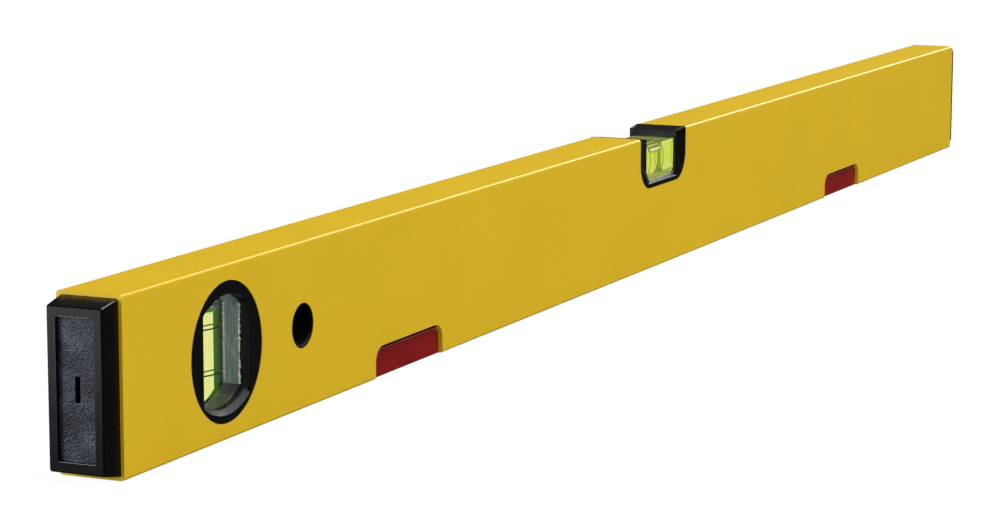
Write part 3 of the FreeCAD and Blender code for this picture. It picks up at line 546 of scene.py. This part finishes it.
def pillar_path(side_x, side_y):
    """Up over the top of a pillar's bevel, from the window to the saddle's outer face."""
    inner = Vector((side_x * WINDOW_HALF, side_y * WINDOW_Y, PILLAR_TOP))
    outer = Vector((side_x * PILLAR_END.x, side_y * PILLAR_END.y, PILLAR_END.z))
    return [inner, outer]


saddle_edges = [window_path(side_y) for side_y in (-1, 1)]
saddle_edges += [pillar_path(side_x, side_y) for side_x in (-1, 1) for side_y in (-1, 1)]
edge_bead("saddle_edges", saddle_edges, BEAD_RADIUS, edge_black)


# The magnet holders' upper edges, with a painted highlight

HOLDER_CORNER = 3.0 * MM
HOLDER_LEDGE = 3.0 * MM
HOLDER_BEAD_RADIUS = 0.12 * MM
HOLDER_BEAD_DEPTH = 0.03 * MM


def holder_edges(name, holder):
    """A bead along a holder's upper edge, on its front and rear face, in a lighter red that is a painted
    highlight.
    """
    low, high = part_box(holder)
    left, right = low.x + HOLDER_LEDGE + HOLDER_CORNER, high.x - HOLDER_LEDGE - HOLDER_CORNER
    floor = high.z - HOLDER_CORNER
    spots = corner_arc(left, floor, HOLDER_CORNER, 150, 90) + corner_arc(right, floor, HOLDER_CORNER, 90, 20)
    faces = (low.y + HOLDER_BEAD_DEPTH, high.y - HOLDER_BEAD_DEPTH)
    paths = [[Vector((x, y, z)) for x, z in spots] for y in faces]
    edge_bead(name, paths, HOLDER_BEAD_RADIUS, red_painted_highlight)


for side_name in ("left", "right"):
    holder_edges(f"magnet_holder_edges_{side_name}", f"magnet_holder_{side_name}")


# The horizontal vial

LEVEL_REACH = (level_bubble_high.x - level_bubble_low.x) / 2
LEVEL_DROP = level_bubble_high.z - level_bubble_low.z
BUBBLE_BLUNTNESS = 3.2
BUBBLE_FULLNESS = 0.45
FOOT_DISH = 0.14


def bubble_loop(x, grow):
    """The bubble's outline across the vial at x: an arc under the wall, and a dished foot."""
    roof = VIAL_RADIUS - FILM + grow
    share = min(abs(x) / (LEVEL_REACH + grow), 1.0)
    depth = (LEVEL_DROP + grow) * max(1 - share**BUBBLE_BLUNTNESS, 0.0) ** BUBBLE_FULLNESS
    foot = roof - depth
    half_turn = math.acos(foot / roof)
    side = roof * math.sin(half_turn)
    half_count = ROUND_SEGMENTS // 2
    loop = []
    for i in range(half_count):
        turn = half_turn * (2 * i / half_count - 1)
        loop.append(Vector((x, roof * math.sin(turn), roof * math.cos(turn))))
    for i in range(half_count):
        across = 1 - 2 * i / half_count
        dish = FOOT_DISH * depth * (across**4 - 1)
        loop.append(Vector((x, side * across, foot + dish)))
    return loop


def bubble_stations(start_share, end_share, grow):
    """Places along the bubble, closer together towards its ends."""
    reach = LEVEL_REACH + grow
    return [reach * math.sin(share * math.pi / 2) for share in steps(start_share, end_share, BUBBLE_STEPS)]


def level_bubble():
    bm = bmesh.new()
    loops = [bubble_loop(x, -PART_GAP) for x in bubble_stations(-0.985, 0.985, -PART_GAP)]
    skin(bm, loops, level_place)
    add_piece(
        "horizontal_vial_bubble_air", bm, bubble_skin, body="level_bubble",
        replaced=["horizontal_vial_bubble"], sharp_angle=60, inside_out=True,
    )


def level_fluid_half(side_name, side):
    """Half of the fluid, from mid-length to one end, with half of the bubble's hollow."""
    def place(point):
        return level_place(Vector((side * point.x, point.y, point.z)))

    bm = bmesh.new()
    middle = PART_GAP / 2
    outside = [ring_of_points(x, barrel_radius(x)) for x in steps(middle, VIAL_HALF, BARREL_STEPS)]
    rings = skin(bm, outside, place, close_start=False)
    hollow = [bubble_loop(x, 0.0) for x in [middle] + bubble_stations(0.04, 0.99, 0.0)]
    hollow_rings = skin(bm, hollow, place, close_start=False)
    bridge(bm, rings[0], hollow_rings[0])
    piece = add_piece(
        f"horizontal_vial_fluid_{side_name}", bm, fluid_green_painted_glow, body=None,
        replaced=["horizontal_vial_fluid"], sharp_angle=50,
    )
    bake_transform(piece)


def level_block():
    """The polished block, sunk a little into the resin below it."""
    low = Vector(level_block_low) + Vector((0, SEAT_GAP, -EMBED))
    high = Vector(level_block_high) - Vector((0, SEAT_GAP, 0))
    bm = bmesh.new()
    bmesh.ops.create_cube(bm, size=1.0)
    bmesh.ops.scale(bm, vec=high - low, verts=bm.verts)
    bmesh.ops.translate(bm, vec=(high + low) / 2, verts=bm.verts)
    bmesh.ops.bevel(bm, geom=list(bm.edges), offset=EDGE_ROUND, segments=2, profile=0.5, affect="EDGES")
    add_piece(
        "horizontal_vial_body", bm, acrylic_glowing,
        replaced=["horizontal_vial_block", "horizontal_vial_plug"], sharp_angle=20,
    )


level_block()
level_fluid_half("left", -1)
level_fluid_half("right", 1)
level_bubble()
reading_rings("horizontal_vial_lines", level_place)


# The plumb vial

PLUMB_HALF_WIDTH = (plumb_block_high.x - plumb_block_low.x) / 2
PLUMB_HALF_HEIGHT = (plumb_block_high.z - plumb_block_low.z) / 2
PLUMB_DEPTH = plumb_block_high.y - SEAT_GAP
PLUMB_ARC = 21.7 * MM
PLUMB_ARC_OFFSET = PLUMB_ARC - PLUMB_HALF_HEIGHT
RESIN_END = 0.22 * MM
GLUE_REACH = 11.7 * MM
PLUMB_FOOT = plumb_bubble_low.z - MID_HEIGHT
PLUMB_ROOF = plumb_bubble_high.z - MID_HEIGHT
PLUMB_AIR_RADIUS = VIAL_RADIUS - VIAL_SAG - FILM
MENISCUS_RISE = 0.9 * MM
SHOULDER = 0.8 * MM


def plumb_air_outline(grow):
    """The air's half outline, from the foot's middle up its side to the top."""
    radius = PLUMB_AIR_RADIUS + grow
    outline = []
    for share in steps(0.04, 1.0, 14):
        outline.append((PLUMB_FOOT - grow + MENISCUS_RISE * share**5, radius * share))
    for share in steps(0.0, 1.0, 6):
        turn = share * math.pi / 2
        height = PLUMB_ROOF + grow - SHOULDER * (1 - math.sin(turn))
        outline.append((height, radius - SHOULDER * (1 - math.cos(turn))))
    return outline


def plumb_bubble():
    bm = bmesh.new()
    skin(bm, [ring_of_points(*spot) for spot in plumb_air_outline(-PART_GAP)], plumb_place)
    add_piece(
        "vertical_vial_bubble_air", bm, bubble_skin, body="plumb_bubble",
        replaced=["vertical_vial_bubble"], sharp_angle=60, inside_out=True,
    )


def plumb_fluid():
    """The fluid below the air, with a film up the wall beside it, and the fluid that closes over it."""
    bm = bmesh.new()
    rim = PLUMB_ROOF - SHOULDER
    outside = [(x, barrel_radius(x)) for x in steps(-VIAL_HALF, rim, 60)]
    foot = [spot for spot in plumb_air_outline(0.0) if spot[0] < rim][::-1]
    inside = [(rim, PLUMB_AIR_RADIUS)] + foot
    skin(bm, [ring_of_points(*spot) for spot in outside + inside], plumb_place)
    lower = add_piece(
        "vertical_vial_fluid_lower", bm, fluid_green_painted_glow, body=None,
        replaced=["vertical_vial_fluid"], sharp_angle=50,
    )
    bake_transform(lower)

    bm = bmesh.new()
    over = [spot for spot in plumb_air_outline(0.0) if spot[0] > rim + PART_GAP]
    low_rim = rim + PART_GAP
    outside = [(x, barrel_radius(x)) for x in steps(VIAL_HALF, low_rim, 10)]
    inside = [(low_rim, PLUMB_AIR_RADIUS)] + over
    skin(bm, [ring_of_points(*spot) for spot in outside + inside], plumb_place)
    upper = add_piece(
        "vertical_vial_fluid_upper", bm, fluid_green_painted_glow, body=None,
        replaced=["vertical_vial_fluid"], sharp_angle=50,
    )
    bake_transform(upper)


def round_ended_loop(y, half_width, arc, offset):
    """Straight sides about the hole's middle, joined by an arc over the top and one below."""
    low = math.acos(half_width / arc)
    loop = []
    for start, middle in ((low, -offset), (math.pi + low, offset)):
        for turn in steps(start, start + math.pi - 2 * low, END_ARC_STEPS):
            loop.append(Vector((arc * math.cos(turn), y, middle + arc * math.sin(turn))))
    return loop


def plumb_block():
    """The polished block, its flat sides sunk a little into the resin beside them."""
    def place(point):
        return point + Vector((PLUMB_X, 0, MID_HEIGHT))

    half_width = PLUMB_HALF_WIDTH + EMBED
    inner = PLUMB_DEPTH - EDGE_ROUND
    bm = bmesh.new()
    loops = []
    for y, inset in ((-PLUMB_DEPTH, EDGE_ROUND), (-inner, 0.0), (inner, 0.0), (PLUMB_DEPTH, EDGE_ROUND)):
        loops.append(round_ended_loop(y, half_width - inset, PLUMB_ARC - inset, PLUMB_ARC_OFFSET))
    skin(bm, loops, place)
    add_piece(
        "vertical_vial_body", bm, acrylic_clear,
        replaced=["vertical_vial_block", "vertical_vial_plug"], sharp_angle=20,
    )


def plumb_resin_end(name, side, material):
    """The thin resin between the round end of the block and its housing."""
    low = math.acos(PLUMB_HALF_WIDTH / PLUMB_ARC)
    inside, outside = PLUMB_ARC - EMBED, PLUMB_ARC + RESIN_END
    section = ((inside, -PLUMB_DEPTH), (inside, PLUMB_DEPTH), (outside, PLUMB_DEPTH), (outside, -PLUMB_DEPTH))
    bm = bmesh.new()
    loops = []
    for turn in steps(low, math.pi - low, END_ARC_STEPS):
        loop = []
        for reach, y in section:
            x = PLUMB_X + reach * math.cos(turn)
            z = MID_HEIGHT + side * (reach * math.sin(turn) - PLUMB_ARC_OFFSET)
            loop.append(Vector((x, y, z)))
        loops.append(loop)
    skin(bm, loops)
    add_piece(name, bm, material, sharp_angle=40)


def glue_bead(name, x, y, radius, depth):
    """A thin, lumpy line of glue up an edge of the plumb block."""
    bm = bmesh.new()
    loops = []
    reach = GLUE_REACH - 0.3 * MM * noise.noise(Vector((y * 900, x * 700, 3.0)))
    for z in steps(MID_HEIGHT - reach, MID_HEIGHT + reach, GLUE_STEPS):
        wander = noise.noise(Vector((x * 900, y * 900, z * 700)))
        swell = 0.8 + 0.7 * noise.noise(Vector((y * 700, x * 300, z * 1300)))
        thick = max(radius * swell, 0.3 * radius)
        centre = Vector((x + 0.12 * MM * wander, y, z))
        loops.append([
            centre + Vector((math.cos(turn) * thick, math.sin(turn) * thick * depth, 0))
            for turn in full_circle(GLUE_SIDES)
        ])
    skin(bm, loops)
    add_piece(name, bm, glue_pale, sharp_angle=80)


plumb_block()
plumb_fluid()
plumb_bubble()
reading_rings("vertical_vial_lines", plumb_place)
plumb_resin_end("plumb_resin_top", 1, resin_grey)
# The bottom resin carries the painted shade and, in its middle, the painted green light.
plumb_resin_end("plumb_resin_bottom", -1, resin_end)
glue_bead("plumb_glue_front", plumb_block_high.x, 0.15 * MM - plumb_block_high.y, 0.34 * MM, 1.6)
glue_bead("plumb_glue_rear", plumb_block_high.x, plumb_block_high.y - 0.9 * MM, 0.2 * MM, 4.5)


# The caps' grained fields

CAP_REACH = cad_high.x - profile_high.x
FIELD_DEPTH = 1.4 * MM
FIELD_HALF_WIDTH = 5.95 * MM
FIELD_HALF_HEIGHT = 19.6 * MM
SLOT_HALF_WIDTH = 0.8 * MM
SLOT_HALF_HEIGHT = 3.55 * MM
GRAIN_STEP = 0.14 * MM
GRAIN_HEIGHT = 0.2 * MM
PEBBLE_SIZE = 0.58 * MM
PEBBLE_EDGE = 0.55
GRAIN_FADE = 0.3 * MM
LIP_RADIUS = 0.2 * MM
LIP_CORNER = 1.0 * MM
FIELD_SKIN = 0.03 * MM


def pebble_height(y, z):
    """The moulded grain: close-packed low pebbles of uneven size and height."""
    warp = noise.noise(Vector((y * 300, z * 300, 2.0))) * 0.5
    spot = Vector((y / PEBBLE_SIZE + warp, z / PEBBLE_SIZE - warp, 0.0))
    distances, _ = noise.voronoi(spot)
    edge = distances[1] - distances[0]
    lump = min(edge / PEBBLE_EDGE, 1.0)
    rise = lump * lump * (3 - 2 * lump)
    uneven = 0.75 + 0.5 * noise.noise(Vector((y * 2200, z * 2200, 5.0)))
    slot_gap = max(abs(y) - SLOT_HALF_WIDTH, abs(z) - SLOT_HALF_HEIGHT)
    edge_gap = min(slot_gap, FIELD_HALF_WIDTH - abs(y), FIELD_HALF_HEIGHT - abs(z))
    return GRAIN_HEIGHT * rise * uneven * min(edge_gap / GRAIN_FADE, 1.0)


def across_slot(half, slot_half):
    """Places from one edge to the other, with some on the slot's edges."""
    beside = round((half - slot_half) / GRAIN_STEP)
    over = round(2 * slot_half / GRAIN_STEP)
    low = steps(-half, -slot_half, beside) + steps(-slot_half, slot_half, over)[1:]
    return low + steps(slot_half, half, beside)[1:]


def cap_field(name, side):
    """A grained panel on the floor of a cap's recess, open at the slot."""
    floor_x = side * (profile_high.x + CAP_REACH - FIELD_DEPTH)
    places = across_slot(FIELD_HALF_WIDTH, SLOT_HALF_WIDTH)
    bm = bmesh.new()
    grid = []
    for z in across_slot(FIELD_HALF_HEIGHT, SLOT_HALF_HEIGHT):
        line = []
        for y in places:
            x = floor_x + side * (FIELD_SKIN + pebble_height(y, z))
            line.append(bm.verts.new((x, y, z + MID_HEIGHT)))
        grid.append(line)
    for lower, upper in zip(grid, grid[1:]):
        for column in range(len(places) - 1):
            corners = (lower[column], lower[column + 1], upper[column + 1], upper[column])
            y = (corners[0].co.y + corners[2].co.y) / 2
            z = (corners[0].co.z + corners[2].co.z) / 2 - MID_HEIGHT
            if abs(y) > SLOT_HALF_WIDTH or abs(z) > SLOT_HALF_HEIGHT:
                bm.faces.new(corners)
    loose = [vertex for vertex in bm.verts if not vertex.link_faces]
    bmesh.ops.delete(bm, geom=loose, context="VERTS")
    piece = add_piece(name, bm, field_black, sharp_angle=80)
    if piece.data.polygons[0].normal.x * side < 0:
        piece.data.flip_normals()


def cap_lip(name, side):
    """The rounded rim of a cap's recess, which catches the light as a fine line."""
    x = side * (profile_high.x + CAP_REACH - LIP_RADIUS)
    straight_y = FIELD_HALF_WIDTH - LIP_CORNER
    straight_z = FIELD_HALF_HEIGHT - LIP_CORNER
    along = Vector((1, 0, 0))
    bm = bmesh.new()
    loops = []
    for corner, (side_y, side_z) in enumerate(((1, 1), (-1, 1), (-1, -1), (1, -1))):
        middle = Vector((x, side_y * straight_y, side_z * straight_z + MID_HEIGHT))
        for turn in steps(corner * math.pi / 2, (corner + 1) * math.pi / 2, CORNER_STEPS):
            outward = Vector((0, math.cos(turn), math.sin(turn)))
            centre = middle + outward * LIP_CORNER
            loops.append([
                centre + LIP_RADIUS * (math.sin(around) * along + math.cos(around) * outward)
                for around in full_circle(BEAD_SIDES)
            ])
    rings = skin(bm, loops, close_start=False, close_end=False)
    bridge(bm, rings[-1], rings[0])
    add_piece(name, bm, edge_black, sharp_angle=80)


for side_name, side in (("left", -1), ("right", 1)):
    cap_field(f"cap_field_{side_name}", side)
    cap_lip(f"cap_lip_{side_name}", side)


# Camera, light and floor

# The camera is fitted to the profile's corners in the photograph. Its place is in metres, its turns
# are in degrees, and its lens and sensor are in millimetres.
CAMERA_PLACE = (-1.07489, -0.42452, 0.18848)
CAMERA_TURNS = (80.6845, -0.1335, -65.8273)
CAMERA_LENS = 110.69
SENSOR_WIDTH = 36.0
NEAREST, FARTHEST = 0.05, 20.0

# How bright the white surroundings are as a light, and to each kind of ray
WORLD_LIGHT = 0.5
WHITE_IN_GLOSS = 0.05
WHITE_THROUGH_GLASS = 1.0
WORLD_WHITE = 1.0
FLOOR_WHITE = 1.12
FLOOR_WHITE_SHARE = 0.85
FLOOR_SIZE = 8.0
FLOOR_DROP = 0.05 * MM


def camera():
    data = bpy.data.cameras.new("camera")
    data.lens = CAMERA_LENS
    data.sensor_width = SENSOR_WIDTH
    data.clip_start = NEAREST
    data.clip_end = FARTHEST
    item = bpy.data.objects.new("camera", data)
    item.location = CAMERA_PLACE
    item.rotation_euler = Euler([math.radians(turn) for turn in CAMERA_TURNS])
    bpy.context.scene.collection.objects.link(item)
    bpy.context.scene.camera = item


def soft_lamp(name, place, target, size, power, colour=(1, 1, 1), diffuse=True):
    """An area lamp, or where it isn't diffuse, one that shows only as a sheen on glossy surfaces."""
    data = bpy.data.lights.new(name, "AREA")
    data.shape = "RECTANGLE"
    data.size, data.size_y = size
    data.energy = power
    data.color = colour
    item = bpy.data.objects.new(name, data)
    item.location = place
    item.rotation_euler = (Vector(target) - Vector(place)).to_track_quat("-Z", "Y").to_euler()
    item.visible_camera = False
    item.visible_transmission = False
    item.visible_diffuse = diffuse
    bpy.context.scene.collection.objects.link(item)


def surroundings():
    """White to the eye and through the vials, dimmer as a light and dark in reflections."""
    world = bpy.data.worlds.new("surroundings")
    bpy.context.scene.world = world
    world.use_nodes = True
    tree = world.node_tree
    tree.nodes.clear()
    output = tree.nodes.new("ShaderNodeOutputWorld")
    background = tree.nodes.new("ShaderNodeBackground")
    background.inputs["Color"].default_value = (1, 1, 1, 1)
    rays = tree.nodes.new("ShaderNodeLightPath")
    strength = add_node(tree, "ShaderNodeValue").outputs[0]
    strength.default_value = WORLD_LIGHT
    for ray, white in (
        ("Is Glossy Ray", WHITE_IN_GLOSS),
        ("Is Transmission Ray", WHITE_THROUGH_GLASS),
        ("Is Camera Ray", WORLD_WHITE),
    ):
        choice = add_node(tree, "ShaderNodeMix", data_type="FLOAT", B=white)
        tree.links.new(rays.outputs[ray], choice.inputs["Factor"])
        tree.links.new(strength, choice.inputs["A"])
        strength = choice.outputs["Result"]
    tree.links.new(strength, background.inputs["Strength"])
    tree.links.new(background.outputs[0], output.inputs["Surface"])


def floor():
    """A pale floor that reads as white, with a faint shadow under the level, and dark in reflections."""
    bpy.ops.mesh.primitive_plane_add(size=FLOOR_SIZE, location=(0, 0, -FLOOR_DROP))
    item = bpy.context.object
    item.name = "floor"
    material, tree, shader, output = new_material("pale_floor")
    shader.inputs["Base Color"].default_value = (0.5, 0.5, 0.5, 1)
    shader.inputs["Roughness"].default_value = 0.9
    shader.inputs["Specular IOR Level"].default_value = 0.0
    rays = tree.nodes.new("ShaderNodeLightPath")
    surface = shader.outputs["BSDF"]
    for ray, white, share in (
        ("Is Glossy Ray", WHITE_IN_GLOSS, 1.0),
        ("Is Transmission Ray", WHITE_THROUGH_GLASS, 1.0),
        ("Is Camera Ray", FLOOR_WHITE, FLOOR_WHITE_SHARE),
    ):
        light = add_node(tree, "ShaderNodeEmission", Strength=white)
        part = add_node(tree, "ShaderNodeMath", operation="MULTIPLY")
        tree.links.new(rays.outputs[ray], part.inputs[0])
        part.inputs[1].default_value = share
        choice = tree.nodes.new("ShaderNodeMixShader")
        tree.links.new(part.outputs[0], choice.inputs[0])
        tree.links.new(surface, choice.inputs[1])
        tree.links.new(light.outputs[0], choice.inputs[2])
        surface = choice.outputs[0]
    tree.links.new(surface, output.inputs["Surface"])
    item.data.materials.append(material)


camera()
surroundings()
floor()
soft_lamp("lamp_over", place=(0.42, -0.78, 1.6), target=(0.1, 0, 0), size=(2.0, 0.9), power=43)
soft_lamp(
    "lamp_end", place=(-1.45, 1.0, 0.3), target=(-0.4, 0, 0.03), size=(0.8, 0.5), power=19,
    colour=(0.93, 0.96, 1.0),
)
soft_lamp(
    "lamp_edges", place=(2.72, -0.35, 1.3), target=(0, 0, 0.05), size=(0.8, 1.6), power=26,
    diffuse=False,
)
soft_lamp(
    "card_by_the_cap", place=(-0.8, 0.25, 0.004), target=(-0.8, 0.25, 1), size=(0.64, 0.6), power=1.0,
    diffuse=False,
)
bpy.context.scene.view_settings.view_transform = "Standard"
